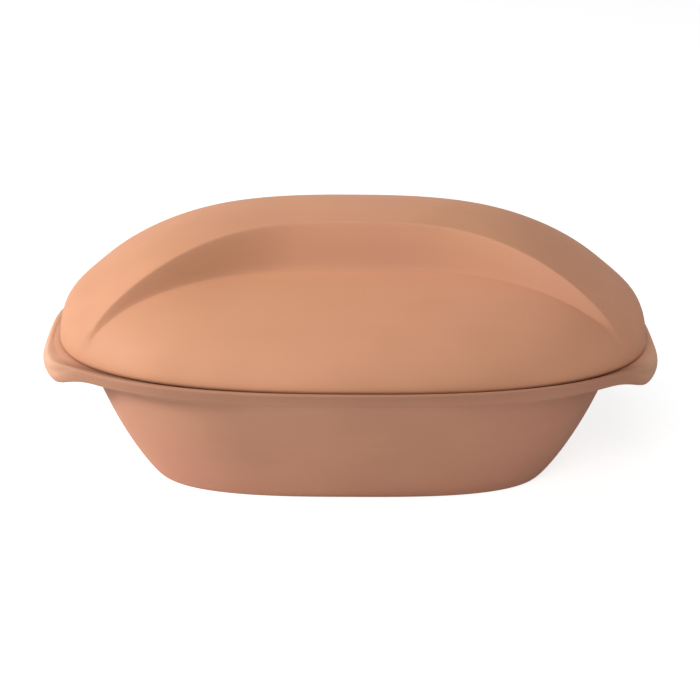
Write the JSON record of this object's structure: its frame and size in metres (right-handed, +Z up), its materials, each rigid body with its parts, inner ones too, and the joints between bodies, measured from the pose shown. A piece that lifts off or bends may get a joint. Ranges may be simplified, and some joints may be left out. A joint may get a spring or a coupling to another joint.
{
  "type": "clay baker",
  "caption": "Oval unglazed clay baker: a flared roasting pot with drooping ears at its ends and a loose domed lid whose raised ridge is the handle.",
  "frame": {"origin": "middle of the flat foot that the pot stands on", "axes": "+X along the length, towards the right-hand ear; -Y to the front; +Z up, the way the lid lifts off"},
  "size_m": [0.4176, 0.2432, 0.1832],
  "materials": {
    "pot_clay": "unglazed fired earthenware, matt and fine-grained, soft pink-brown mottling",
    "lid_clay": "unglazed fired earthenware, matt and fine-grained, a little lighter than the pot"
  },
  "bodies": {
    "pot": {"pot": "pot_clay"},
    "lid": {"lid": "lid_clay"}
  },
  "joints": [
    {"name": "lid_lift", "type": "slide", "parent": "pot", "child": "lid", "axis": [0, 0, 1], "range_m": [0, 0.2]}
  ]
}
